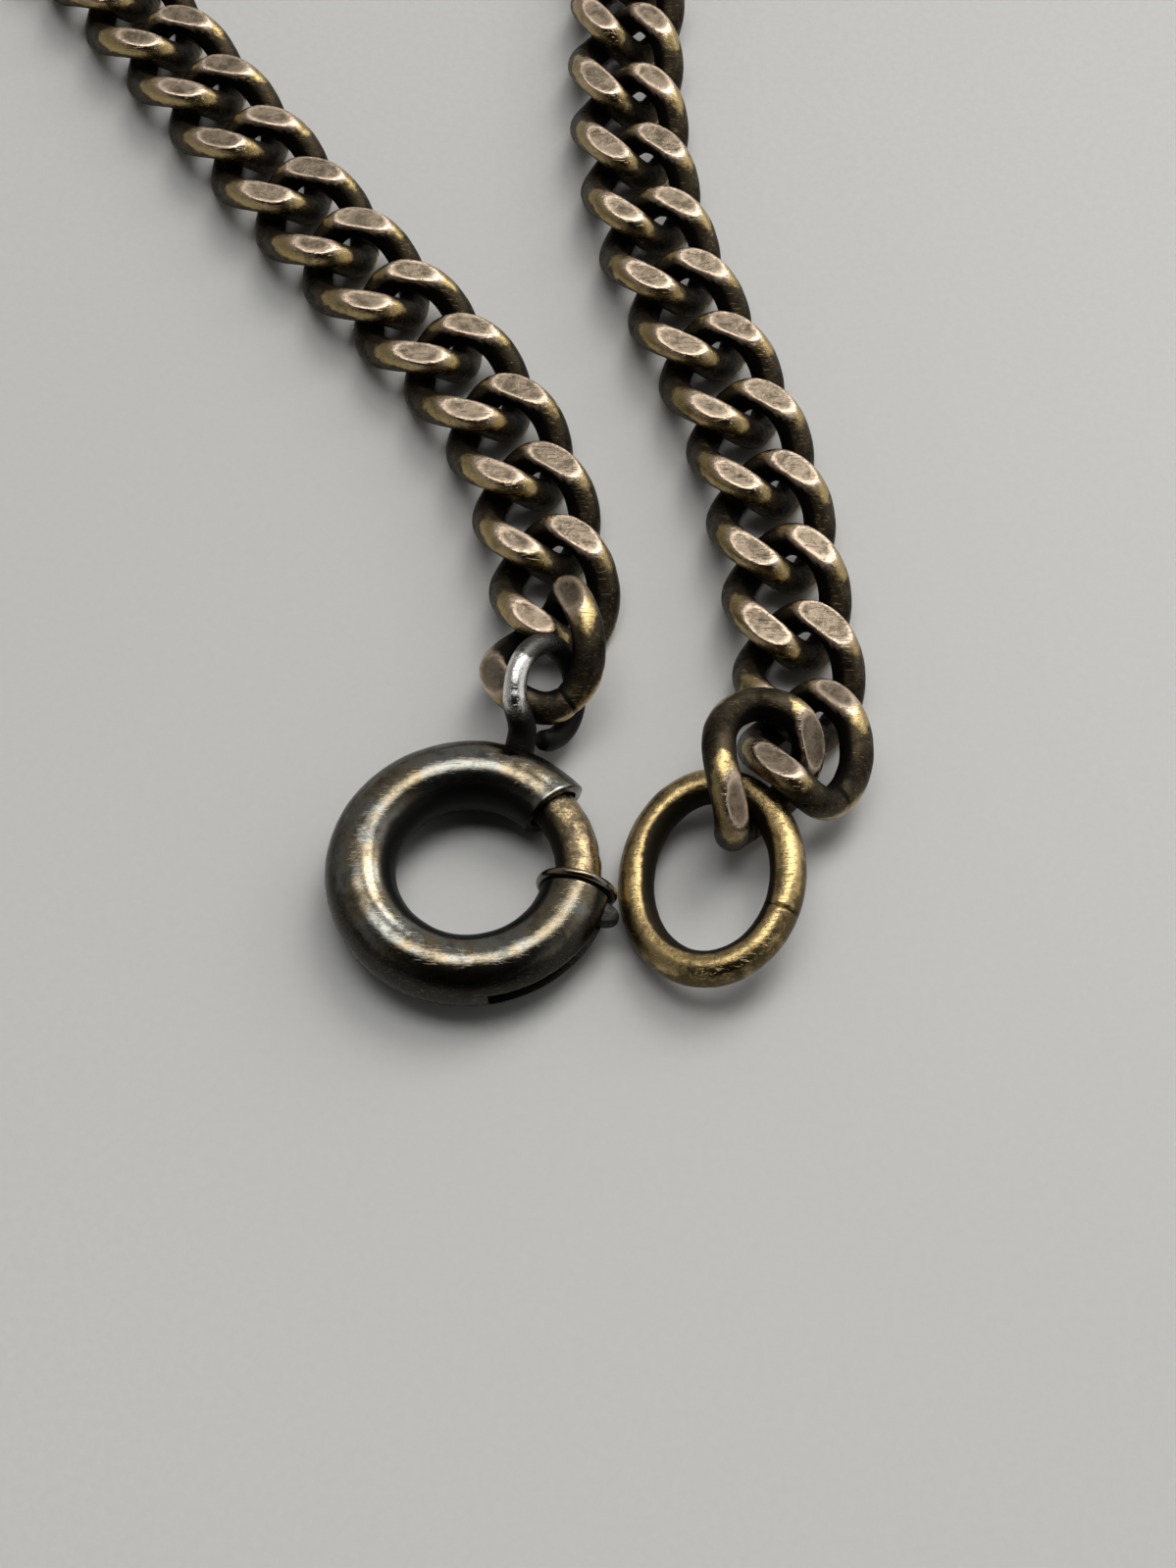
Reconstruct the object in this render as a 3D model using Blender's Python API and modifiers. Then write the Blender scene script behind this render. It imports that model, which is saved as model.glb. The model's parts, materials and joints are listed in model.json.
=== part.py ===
"""A curb-link watch chain: a sprung bolt ring at one end and an oval end ring at the other.

The chain lies flat in an open loop, +Z up. Each link is a twisted wire loop, ground flat on both
faces. Link 01 hangs in the bolt ring's eye and the last link holds the end ring. Lengths are in
millimetres in the names below, and become metres where Blender takes them. The layout is drawn
about the bolt ring's centre, and the whole assembly is then moved to stand on its own middle.
"""

from math import atan2, cos, degrees, pi, radians, sin

import bmesh
import bpy
import numpy as np
from mathutils import Euler, Matrix, Vector

MM = 0.001

# Curb link
LINKS = 48
LINK_WIRE_D = 1.86
LINK_HALF_LENGTH = 3.6  # of the wire's centreline
LINK_HALF_WIDTH = 2.7
LINK_TWIST = 96.0  # degrees, from one end of the link to the other
LINK_SQUARENESS = 0.9  # power of the sine and cosine: 1 is an ellipse, less is squarer
LINK_THICKNESS = 3.4  # over the two ground faces
LINK_POINTS = 16
FIRST_LINK_HINGE = 160.0  # degrees round link 01's wire, where the bolt ring swings on it

# Bolt ring
RING_RADIUS = 5.66  # of the tube's centreline
TUBE_R = 1.84
BORE_R = 1.36
BOLT_R = 1.2
UPPER_MOUTH = 40.0  # degrees round the ring, anticlockwise from +X
COLLAR_R = 2.15
COLLAR_THICKNESS = 0.45
COLLAR_ANGLE = -10.7
BOLT_TIP, BOLT_TAIL = 48.0, -32.0
BOLT_TRAVEL = 55.0
LUG_ANGLE, LUG_HALF_ANGLE = -20.0, 4.5
LUG_TIP_RADIUS = 8.2
LUG_THICKNESS = 0.84
SLOT_WIDTH = 1.0
SPRING_COIL_R, SPRING_WIRE_R, SPRING_TURNS = 0.95, 0.2, 12
SPRING_START, SPRING_END = -35.5, -199.0
STOP_START, STOP_END = -201.0, -208.0
GAP = 0.05  # between pieces that are soldered or rest together
RING_HEIGHT = COLLAR_R  # the clasp rests on its collar

# Attachment eye, a hooked wire whose plane leans over
EYE_WIRE_D = 1.25
EYE_LOOP_R = 2.56
EYE_ANGLE = 68.8
EYE_DISTANCE = 10.73
EYE_HEIGHT = 3.42
EYE_FOOT_HEIGHT = 2.6  # where its stem leaves the tube
EYE_LEAN = 32.3
EYE_FROM, EYE_TO = 140.0, -150.0  # degrees round the loop, 0 at its far side

# End ring
END_RING_WIRE_D = 1.94
END_RING_HALF_LENGTH = 5.3  # of the wire's centreline
END_RING_HALF_WIDTH = 4.05
END_RING_CUT = 242.0  # degrees round the oval, from its long axis
END_RING_CUT_WIDTH = 0.8  # degrees
END_RING_HINGE = 322.0  # where it hangs on the last link

# The chain's route on the table, from link 02 to the last link but two, about the bolt ring
ROUTE = [
    (4.3, 17.6), (1.6, 27.5), (-7.4, 40.0), (-17.2, 53.5), (-28.0, 69.0), (-34.0, 85.0),
    (-27.6, 100.6), (-12.0, 107.0), (3.6, 100.6), (10.0, 85.0), (9.4, 70.0), (8.5, 56.0),
    (10.4, 41.5), (15.0, 28.5), (17.6, 12.0),
]  # fmt: skip

# Pieces that lie out of line: x, y, z in mm, then heading, pitch and roll in degrees
FIRST_LINK_POSE = (3.95, 12.86, 3.03, 75.26, -2.81, -31.39)
LAST_BUT_ONE_POSE = (17.66, 6.97, 2.75, 89.04, -17.58, -1.78)
LAST_LINK_POSE = (14.9, 5.2, 3.64, 68.58, 15.88, 44.65)
END_RING_POSE = (12.55, -0.4, 2.33, 89.66, -0.68, -15.91)

WIRE_SIDES = {6: 1, 8: 2, 10: 3, 12: 4}  # sides of a round wire to Blender's bevel resolution


def clear_scene():
    for item in list(bpy.data.objects):
        bpy.data.objects.remove(item, do_unlink=True)


def make_collection(name):
    collection = bpy.data.collections.new(name)
    bpy.context.scene.collection.children.link(collection)
    return collection


def make_material(name, colour, metallic, roughness):
    material = bpy.data.materials.new(name)
    material.use_nodes = True
    shader = material.node_tree.nodes["Principled BSDF"]
    shader.inputs["Base Color"].default_value = (*colour, 1.0)
    shader.inputs["Metallic"].default_value = metallic
    shader.inputs["Roughness"].default_value = roughness
    return material


def on_ring(angle, radius=RING_RADIUS, height=0.0):
    """A point at this many degrees round the bolt ring, about its centre."""
    return Vector((radius * cos(radians(angle)), radius * sin(radians(angle)), height))


def pose_matrix(pose):
    x, y, z, heading, pitch, roll = pose
    turn = Euler((radians(roll), -radians(pitch), radians(heading)), "XYZ").to_matrix()
    return Matrix.Translation(Vector((x, y, z)) * MM) @ turn.to_4x4()


def wire_mesh(name, points, radius, sides, closed=False, tip_radii=None, capped=True):
    """A round wire or tube along points in mm, as a mesh."""
    curve = bpy.data.curves.new(name, "CURVE")
    curve.dimensions = "3D"
    curve.bevel_depth = radius * MM
    curve.bevel_resolution = WIRE_SIDES[sides]
    curve.use_fill_caps = capped and not closed
    spline = curve.splines.new("POLY")
    spline.points.add(len(points) - 1)
    for slot, point in zip(spline.points, points):
        slot.co = (*(Vector(point) * MM), 1.0)
    for index, scale in (tip_radii or {}).items():
        spline.points[index].radius = scale
    spline.use_cyclic_u = closed
    return mesh_from(curve)


def plate_mesh(name, outline, thickness):
    """A flat plate with this outline in mm, centred on its own plane."""
    curve = bpy.data.curves.new(name, "CURVE")
    curve.dimensions = "2D"
    curve.fill_mode = "BOTH"
    curve.extrude = thickness * MM / 2
    spline = curve.splines.new("POLY")
    spline.points.add(len(outline) - 1)
    for slot, point in zip(spline.points, outline):
        slot.co = (point[0] * MM, point[1] * MM, 0.0, 1.0)
    spline.use_cyclic_u = True
    return mesh_from(curve)


def mesh_from(curve):
    """The curve's evaluated surface as a mesh, with its caps welded on."""
    holder = bpy.data.objects.new(curve.name, curve)
    bpy.context.scene.collection.objects.link(holder)
    graph = bpy.context.evaluated_depsgraph_get()
    mesh = bpy.data.meshes.new_from_object(holder.evaluated_get(graph))
    mesh.name = curve.name
    bpy.data.objects.remove(holder, do_unlink=True)
    shape = bmesh.new()
    shape.from_mesh(mesh)
    bmesh.ops.remove_doubles(shape, verts=shape.verts, dist=1e-7)
    bmesh.ops.recalc_face_normals(shape, faces=shape.faces)
    shape.to_mesh(mesh)
    shape.free()
    return mesh


def add_object(name, mesh, material, collection, parent=None, matrix=None, smooth=True):
    mesh.materials.clear()
    mesh.materials.append(material)
    if smooth:
        mesh.shade_smooth()
        mesh.set_sharp_from_angle(angle=radians(40))
    piece = bpy.data.objects.new(name, mesh)
    collection.objects.link(piece)
    piece.parent = parent
    piece.matrix_local = matrix or Matrix()
    return piece


def add_empty(name, collection, parent=None, matrix=None):
    empty = bpy.data.objects.new(name, None)
    empty.empty_display_size = 2 * MM
    collection.objects.link(empty)
    empty.parent = parent
    empty.matrix_local = matrix or Matrix()
    return empty


def power(value, exponent):
    return abs(value) ** exponent * (1 if value >= 0 else -1)


def link_point(turn):
    """The point in mm at this angle round the twisted loop, whose long axis is X."""
    along = LINK_HALF_LENGTH * power(cos(turn), LINK_SQUARENESS)
    across = LINK_HALF_WIDTH * power(sin(turn), LINK_SQUARENESS)
    twist = -radians(LINK_TWIST) / 2 * along / LINK_HALF_LENGTH
    return Vector((along, across * cos(twist), across * sin(twist)))


def end_ring_point(turn):
    return Vector((END_RING_HALF_LENGTH * cos(turn), END_RING_HALF_WIDTH * sin(turn), 0.0))


def hinge_on_wire(own, point, turn):
    """A matrix on a wire's centreline at this angle, its X axis along the wire."""
    along = (point(turn + 0.01) - point(turn - 0.01)).normalized()
    frame = along.to_track_quat("X", "Z").to_matrix().to_4x4()
    return own @ Matrix.Translation(point(turn) * MM) @ frame


def link_mesh():
    """One link, its wire loop ground to LINK_THICKNESS by a plane on each face."""
    points = [link_point(2 * pi * index / LINK_POINTS) for index in range(LINK_POINTS)]
    mesh = wire_mesh("curb_link", points, LINK_WIRE_D / 2, 6, closed=True)
    shape = bmesh.new()
    shape.from_mesh(mesh)
    for side in (1, -1):
        everything = shape.verts[:] + shape.edges[:] + shape.faces[:]
        cut = bmesh.ops.bisect_plane(
            shape,
            geom=everything,
            dist=1e-9,
            plane_co=(0, 0, side * LINK_THICKNESS / 2 * MM),
            plane_no=(0, 0, side),
            clear_outer=True,
        )
        edges = [item for item in cut["geom_cut"] if isinstance(item, bmesh.types.BMEdge)]
        bmesh.ops.edgeloop_fill(shape, edges=edges)
    bmesh.ops.recalc_face_normals(shape, faces=shape.faces)
    shape.to_mesh(mesh)
    shape.free()
    return mesh


def natural_spline(knots, per_span=40):
    """Points along the natural cubic spline through the knots, by chord length."""
    knots = np.array(knots, float)
    spans = np.linalg.norm(np.diff(knots, axis=0), axis=1)
    count = len(knots)
    system = np.eye(count)
    right = np.zeros((count, 2))
    for i in range(1, count - 1):
        before, after = spans[i - 1], spans[i]
        system[i, i - 1 : i + 2] = before, 2 * (before + after), after
        right[i] = 6 * ((knots[i + 1] - knots[i]) / after - (knots[i] - knots[i - 1]) / before)
    bend = np.linalg.solve(system, right)
    points = []
    for i in range(count - 1):
        for b in np.linspace(0, 1, per_span, endpoint=False):
            a = 1 - b
            curve = ((a**3 - a) * bend[i] + (b**3 - b) * bend[i + 1]) * spans[i] ** 2 / 6
            points.append(a * knots[i] + b * knots[i + 1] + curve)
    return np.array([*points, knots[-1]])


def route_poses(count):
    """Poses of links spaced evenly along the route, lying flat."""
    path = natural_spline(ROUTE)
    run = np.concatenate([[0], np.cumsum(np.linalg.norm(np.diff(path, axis=0), axis=1))])

    def at(distance):
        return np.array([np.interp(distance, run, path[:, axis]) for axis in (0, 1)])

    half_step = 0.5
    poses = []
    for distance in np.linspace(0, run[-1], count):
        x, y = at(distance)
        ahead = at(min(distance + half_step, run[-1])) - at(max(distance - half_step, 0))
        heading = degrees(atan2(ahead[1], ahead[0]))
        poses.append((x, y, LINK_THICKNESS / 2, heading, 0.0, 0.0))
    return poses


def build_links(base, collection, material):
    """Every link, each held by an empty that stands on its joint, midway to its parent link."""
    poses = [FIRST_LINK_POSE, *route_poses(LINKS - 3), LAST_BUT_ONE_POSE, LAST_LINK_POSE]
    mesh = link_mesh()
    root = LINKS // 2 - 1
    for index, pose in enumerate(poses):
        own = pose_matrix(pose)
        joint = own.copy()
        if index != root:
            towards = index + (1 if index < root else -1)
            middle = (own.translation + pose_matrix(poses[towards]).translation) / 2
            joint = Matrix.Translation(middle) @ own.to_3x3().to_4x4()
        name = f"link_{index + 1:02d}"
        holder = add_empty(f"joint_{name}", collection, base, joint)
        add_object(name, mesh, material, collection, holder, joint.inverted() @ own)


def arc_points(start, end, step=8.0, radius=RING_RADIUS):
    count = max(2, round(abs(end - start) / step) + 1)
    return [on_ring(angle, radius) for angle in np.linspace(start, end, count)]


def sector_outline(start, end, inner, outer):
    step = 6.0
    return arc_points(start, end, step, outer) + arc_points(end, start, step, inner)


def cut(piece, cutter):
    modifier = piece.modifiers.new("cut", "BOOLEAN")
    modifier.operation = "DIFFERENCE"
    modifier.object = cutter


def build_tube(ring, collection, cutters, material):
    """The hollow ring: an open bent surface thickened inwards, slotted on its outer side."""
    points = arc_points(UPPER_MOUTH, 350 + COLLAR_ANGLE, 10.0)
    forward = on_ring(COLLAR_ANGLE + 90, 1.0)
    mouth = on_ring(COLLAR_ANGLE) - forward * (COLLAR_THICKNESS / 2 + GAP)
    points += [mouth - forward * 0.3, mouth]
    surface = wire_mesh("bolt_ring_tube", points, TUBE_R, 12, capped=False)
    tube = add_object("bolt_ring_tube", surface, material, collection, ring)
    wall = tube.modifiers.new("wall", "SOLIDIFY")
    wall.thickness = (TUBE_R - BORE_R) * MM
    wall.offset = -1.0
    wall.use_rim = True
    slot_start = COLLAR_ANGLE + 2.0
    slot_end = LUG_ANGLE - LUG_HALF_ANGLE - BOLT_TRAVEL - 2.0
    outline = sector_outline(slot_start, slot_end, RING_RADIUS + 0.8, RING_RADIUS + 3.0)
    cutter = add_object(
        "slot_cutter", plate_mesh("slot_cutter", outline, SLOT_WIDTH), material, cutters, ring
    )
    cutter.hide_render = True
    cutter.display_type = "WIRE"
    cut(tube, cutter)


def build_collar(ring, collection, material):
    """A washer on the tube's lower mouth, turned about the tube's own axis."""
    inner, outer, half = BORE_R + 0.04, COLLAR_R, COLLAR_THICKNESS / 2
    corners = [(outer, half), (outer, -half), (inner, -half), (inner, half)]
    profile = bpy.data.meshes.new("thrust_collar")
    points = [(radius * MM, 0.0, along * MM) for radius, along in corners]
    profile.from_pydata(points, [(0, 1), (1, 2), (2, 3), (3, 0)], [])
    turn = Matrix.Rotation(radians(COLLAR_ANGLE), 4, "Z") @ Matrix.Rotation(-pi / 2, 4, "X")
    place = Matrix.Translation(on_ring(COLLAR_ANGLE) * MM) @ turn
    collar = add_object("thrust_collar", profile, material, collection, ring, place, False)
    screw = collar.modifiers.new("turned", "SCREW")
    screw.axis = "Z"
    screw.steps = screw.render_steps = 24
    screw.use_merge_vertices = True
    screw.merge_threshold = 1e-7


def build_bolt(slider, collection, wire, lug):
    """The curved bolt and the lug that is riveted in it, on the empty that slides them round."""
    points = arc_points(BOLT_TAIL, BOLT_TIP)
    ends = {0: 0.85, len(points) - 1: 0.8}
    mesh = wire_mesh("bolt", points, BOLT_R, 12, tip_radii=ends)
    add_object("bolt", mesh, wire, collection, slider)
    base, shoulder = RING_RADIUS + BOLT_R + GAP, RING_RADIUS + TUBE_R + 0.1
    low, high = LUG_ANGLE - LUG_HALF_ANGLE, LUG_ANGLE + LUG_HALF_ANGLE
    outline = [
        on_ring(low, base),
        on_ring(low, shoulder),
        on_ring(LUG_ANGLE - 1.2, LUG_TIP_RADIUS),
        on_ring(LUG_ANGLE + 1.2, LUG_TIP_RADIUS),
        on_ring(high, shoulder),
        on_ring(high, base),
    ]
    plate = plate_mesh("thumb_lug", outline, LUG_THICKNESS)
    add_object("thumb_lug", plate, lug, collection, slider, smooth=False)


def build_spring(ring, collection, material):
    """The closing spring: a coil bent along the bore, from the bolt's tail to the stop."""
    per_turn = 8
    points = []
    for index in range(SPRING_TURNS * per_turn + 1):
        share = index / (SPRING_TURNS * per_turn)
        angle = SPRING_START + (SPRING_END - SPRING_START) * share
        turn = 2 * pi * SPRING_TURNS * share
        radius = RING_RADIUS + SPRING_COIL_R * cos(turn)
        points.append(on_ring(angle, radius, SPRING_COIL_R * sin(turn)))
    mesh = wire_mesh("closing_spring", points, SPRING_WIRE_R, 6)
    add_object("closing_spring", mesh, material, collection, ring)
    plug = wire_mesh("spring_stop", arc_points(STOP_START, STOP_END, 3.5), BORE_R - 0.08, 12)
    add_object("spring_stop", plug, material, collection, ring)


def build_eye(ring, collection, material):
    """The hooked wire that holds link 01: a stem from the tube, then most of a leaning loop."""
    out = on_ring(EYE_ANGLE, 1.0)
    left = Vector((-out.y, out.x, 0.0))
    lean = Vector((0, 0, cos(radians(EYE_LEAN)))) + left * sin(radians(EYE_LEAN))
    height = EYE_HEIGHT - RING_HEIGHT
    centre = out * EYE_DISTANCE + Vector((0, 0, height))
    foot_height = EYE_FOOT_HEIGHT - RING_HEIGHT
    stem_foot = out * (RING_RADIUS + TUBE_R + GAP + 0.06) + Vector((0, 0, foot_height)) + left * 0.2
    stem_bend = out * 8.3 + Vector((0, 0, foot_height + 0.75)) + left * 0.35
    loop = [
        centre + (out * cos(radians(turn)) + lean * sin(radians(turn))) * EYE_LOOP_R
        for turn in np.linspace(EYE_FROM, EYE_TO, 20)
    ]
    points = [stem_foot, stem_bend, *loop]
    mesh = wire_mesh("attachment_eye", points, EYE_WIRE_D / 2, 8)
    add_object("attachment_eye", mesh, material, collection, ring)


def build_bolt_ring(base, collection, cutters, materials):
    """The clasp. Its holder stands where it swings on link 01; its slider on the ring's axis."""
    hinge = hinge_on_wire(pose_matrix(FIRST_LINK_POSE), link_point, radians(FIRST_LINK_HINGE))
    holder = add_empty("joint_bolt_ring", collection, base, hinge)
    centre = Matrix.Translation(Vector((0, 0, RING_HEIGHT)) * MM)
    ring = add_empty("bolt_ring_centre", collection, holder, hinge.inverted() @ centre)
    slider = add_empty("joint_bolt", collection, ring)
    build_tube(ring, collection, cutters, materials["worn_nickel"])
    build_collar(ring, collection, materials["worn_nickel"])
    build_bolt(slider, collection, materials["bolt_brass"], materials["worn_nickel"])
    build_spring(ring, collection, materials["spring_steel"])
    build_eye(ring, collection, materials["eye_silver"])


def build_end_ring(base, collection, material):
    """An oval wire ring, cut through once where its ends meet."""
    half = END_RING_CUT_WIDTH / 2
    start, end = END_RING_CUT + half, END_RING_CUT + 360 - half
    points = [end_ring_point(radians(turn)) for turn in np.linspace(start, end, 29)]
    own = pose_matrix(END_RING_POSE)
    hinge = hinge_on_wire(own, end_ring_point, radians(END_RING_HINGE))
    holder = add_empty("joint_end_ring", collection, base, hinge)
    mesh = wire_mesh("end_ring", points, END_RING_WIRE_D / 2, 8)
    add_object("end_ring", mesh, material, collection, holder, hinge.inverted() @ own)


def stand_on_middle(base):
    """Moves the assembly so that its box stands centred on the origin."""
    bpy.context.view_layer.update()
    graph = bpy.context.evaluated_depsgraph_get()
    points = []
    for piece in bpy.data.objects:
        if piece.type == "MESH" and not piece.hide_render:
            mesh = piece.evaluated_get(graph).to_mesh()
            points += [piece.matrix_world @ vertex.co for vertex in mesh.vertices]
    low = Vector(min(point[axis] for point in points) for axis in range(3))
    high = Vector(max(point[axis] for point in points) for axis in range(3))
    middle = (low + high) / 2
    base.location = (-middle.x, -middle.y, -low.z)


def main():
    clear_scene()
    collection = make_collection("watch_chain")
    cutters = make_collection("cutters")
    materials = {
        "aged_brass": make_material("aged_brass", (0.30, 0.22, 0.13), 1.0, 0.42),
        "end_ring_brass": make_material("end_ring_brass", (0.42, 0.31, 0.14), 1.0, 0.35),
        "worn_nickel": make_material("worn_nickel", (0.32, 0.31, 0.28), 1.0, 0.32),
        "bolt_brass": make_material("bolt_brass", (0.36, 0.27, 0.15), 1.0, 0.36),
        "eye_silver": make_material("eye_silver", (0.55, 0.55, 0.53), 1.0, 0.28),
        "spring_steel": make_material("spring_steel", (0.35, 0.35, 0.36), 1.0, 0.35),
    }
    base = add_empty("chain_base", collection)
    build_links(base, collection, materials["aged_brass"])
    build_bolt_ring(base, collection, cutters, materials)
    build_end_ring(base, collection, materials["end_ring_brass"])
    stand_on_middle(base)
    bpy.context.view_layer.update()


main()
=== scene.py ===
"""Looks for the curb-link watch chain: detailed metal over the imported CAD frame."""

import json
import math

import bmesh
import bpy
import numpy as np
from mathutils import Matrix, Vector, noise


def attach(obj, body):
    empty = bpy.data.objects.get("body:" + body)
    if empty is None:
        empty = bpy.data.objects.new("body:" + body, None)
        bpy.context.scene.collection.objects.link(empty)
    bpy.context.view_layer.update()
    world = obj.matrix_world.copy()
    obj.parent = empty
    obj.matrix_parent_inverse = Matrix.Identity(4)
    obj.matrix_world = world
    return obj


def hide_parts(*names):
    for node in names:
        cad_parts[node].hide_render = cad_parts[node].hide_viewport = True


MM = 0.001
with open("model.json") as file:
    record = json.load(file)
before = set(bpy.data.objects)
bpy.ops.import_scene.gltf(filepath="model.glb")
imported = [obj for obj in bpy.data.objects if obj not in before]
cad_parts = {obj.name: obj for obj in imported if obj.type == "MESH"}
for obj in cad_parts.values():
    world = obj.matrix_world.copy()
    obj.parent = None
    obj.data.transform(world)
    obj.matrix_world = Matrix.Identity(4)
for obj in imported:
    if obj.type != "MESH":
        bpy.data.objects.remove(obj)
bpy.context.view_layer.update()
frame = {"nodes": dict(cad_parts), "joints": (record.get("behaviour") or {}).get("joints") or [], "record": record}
nodes = frame["nodes"]
joints = {joint["name"]: joint for joint in frame["joints"]}
record = frame["record"]
node_body = {
    node: body for body, members in record["behaviour"]["bodies"].items() for node in members
}

# Sizes in mm and angles in degrees, the same as the CAD solids' but for slightly slimmer wires
LINK = {"length": 3.6, "width": 2.7, "twist": 96.0, "square": 0.9, "wire": 0.905, "half": 1.67}
RING_R, TUBE_R, BORE_R, BOLT_R = 5.66, 1.84, 1.36, 1.2
RING_CENTRE = Vector(joints["bolt_slide_round"]["pos_m"]) / MM
MOUTH_UPPER, COLLAR_ANGLE = 40.0, -10.7
COLLAR_OUTER, COLLAR_HALF = 2.15, 0.225
SLOT_FROM, SLOT_TO, SLOT_HALF = -12.0, -81.5, 15.1
BOLT_TAIL, BOLT_TIP = -32, 48
LUG_ANGLE, LUG_TIP, LUG_HALF_THICK = -20, 8.2, 0.42
EYE = {
    "angle": 68.8,
    "distance": 10.73,
    "height": 3.42,
    "foot": 2.6,
    "loop": 2.56,
    "lean": 32.3,
    "wire": 0.61,
}
END_RING_HALVES, END_RING_WIRE, END_RING_CUT = (5.3, 4.05), 0.95, 242.0
TABLE = 0.0
TABLE_HALF = 1.5


# ---------------------------------------------------------------- geometry helpers
def smoothstep(low, high, value):
    """0 at low, 1 at high and an S curve between. low may be the larger one."""
    share = np.clip((value - low) / (high - low), 0.0, 1.0)
    return share * share * (3 - 2 * share)


def frames_along(points, closed):
    """Unit normals and binormals that turn as little as they can along the points."""
    count = len(points)
    if closed:
        tangents = np.roll(points, -1, 0) - np.roll(points, 1, 0)
    else:
        tangents = np.gradient(points, axis=0)
    tangents /= np.linalg.norm(tangents, axis=1)[:, None]
    normals = np.zeros_like(points)
    normal = np.array((0, 0, 1), float)
    for i in range(count):
        normal = normal - tangents[i] * (normal @ tangents[i])
        normal /= np.linalg.norm(normal)
        normals[i] = normal
    if closed:
        last = normals[-1] - tangents[0] * (normals[-1] @ tangents[0])
        last /= np.linalg.norm(last)
        across = np.cross(tangents[0], normals[0])
        excess = math.atan2(last @ across, last @ normals[0])
        for i in range(count):
            turn = -excess * i / count
            side = np.cross(tangents[i], normals[i])
            normals[i] = normals[i] * math.cos(turn) + side * math.sin(turn)
    return normals, np.cross(tangents, normals)


def tube_faces(rows, sides, closed):
    """Four-sided faces between rings of vertices, from each ring to the next."""
    faces = []
    for i in range(rows if closed else rows - 1):
        j = (i + 1) % rows
        for k in range(sides):
            m = (k + 1) % sides
            faces.append((i * sides + k, i * sides + m, j * sides + m, j * sides + k))
    return faces


def sweep(points, radius, sides, closed=False):
    """Vertices and faces of a round wire along the points. radius is one number, or one per
    point. An open wire gets a flat cap on each end."""
    points = np.array(points, float)
    count = len(points)
    radius = np.broadcast_to(np.array(radius, float), (count,))
    normals, binormals = frames_along(points, closed)
    angles = 2 * np.pi * np.arange(sides) / sides
    ring = np.cos(angles)[None, :, None] * normals[:, None]
    ring = ring + np.sin(angles)[None, :, None] * binormals[:, None]
    verts = points[:, None] + ring * radius[:, None, None]
    verts = verts.reshape(-1, 3)
    faces = tube_faces(count, sides, closed)
    if not closed:
        verts = np.vstack([verts, points[0], points[-1]])
        a, b = len(verts) - 2, len(verts) - 1
        last = (count - 1) * sides
        for k in range(sides):
            m = (k + 1) % sides
            faces.append((a, m, k))
            faces.append((b, last + k, last + m))
    return verts, faces


def fractal(verts, scale, seed, octaves=3):
    """Noise from -1 to 1 at each point, in mm."""
    shift = Vector((seed * 7.31, seed * 3.17, seed * 5.77))
    return np.array(
        [noise.fractal(Vector(v) * scale + shift, 1.0, 2.0, octaves) for v in verts]
    )


def finish_surface(mesh, wear_and_sheen, shade_and_grime, seed, flat=0.0, rim=0.0):
    """Stores what the metal needs to know at each vertex: rubbed places, some with a painted
    highlight; dark places, mostly painted shade with some dirt and dark joints; ground faces
    and their rims; and a seed for the noise. Each is one number, or one per vertex."""
    given = {"wear_and_sheen": wear_and_sheen, "shade_and_grime": shade_and_grime, "flat": flat, "rim": rim, "seed": seed}
    for key, value in given.items():
        layer = mesh.attributes.new(key, "FLOAT", "POINT")
        values = np.ascontiguousarray(np.broadcast_to(value, len(mesh.vertices)), np.float32)
        layer.data.foreach_set("value", values)
    mesh.shade_smooth()


def mesh_of(name, verts, faces, wear_and_sheen, shade_and_grime, seed):
    """A mesh from vertices in mm, its faces turned outward, with its surface values."""
    mesh = bpy.data.meshes.new(name)
    mesh.from_pydata((np.array(verts) * MM).tolist(), [], faces)
    mesh.update()
    shape = bmesh.new()
    shape.from_mesh(mesh)
    bmesh.ops.recalc_face_normals(shape, faces=shape.faces)
    shape.to_mesh(mesh)
    shape.free()
    finish_surface(mesh, wear_and_sheen, shade_and_grime, seed)
    return mesh


def place(name, mesh, material, matrix, replaced):
    """Puts a mesh in the frame in place of a CAD node, and lets it ride on that node's body."""
    piece = bpy.data.objects.new(name, mesh)
    bpy.context.scene.collection.objects.link(piece)
    mesh.materials.clear()
    mesh.materials.append(material)
    mesh.transform(matrix)
    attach(piece, node_body[replaced])
    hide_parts(replaced)
    return piece


def bevel(piece, name, width, segments, above):
    """Rounds the edges sharper than an angle in degrees."""
    edge = piece.modifiers.new(name, "BEVEL")
    edge.width = width * MM
    edge.segments = segments
    edge.limit_method = "ANGLE"
    edge.angle_limit = math.radians(above)


def node_frame(name):
    """Centre of a CAD node, its axes from least to most spread, and its triangles' normals."""
    mesh = nodes[name].data
    mesh.calc_loop_triangles()
    co = np.array([v.co for v in mesh.vertices], float)
    tri = co[np.array([t.vertices for t in mesh.loop_triangles])]
    a, b = tri[:, 1] - tri[:, 0], tri[:, 2] - tri[:, 0]
    cross = np.cross(a, b)
    volumes = np.einsum("ij,ij->i", tri[:, 0], cross) / 6
    volume = volumes.sum()
    middle = (volumes[:, None] * tri.sum(1) / 4).sum(0) / volume
    centred = tri - middle
    total = centred.sum(1)
    spread = np.zeros((3, 3))
    weights = np.einsum("ij,ij->i", centred[:, 0], cross) / 6
    for k in range(3):
        spread += np.einsum("n,ni,nj->ij", weights, centred[:, k], centred[:, k])
    spread += np.einsum("n,ni,nj->ij", weights, total, total)
    spread /= 20
    _, axes = np.linalg.eigh(spread)
    return middle, axes, cross


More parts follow.
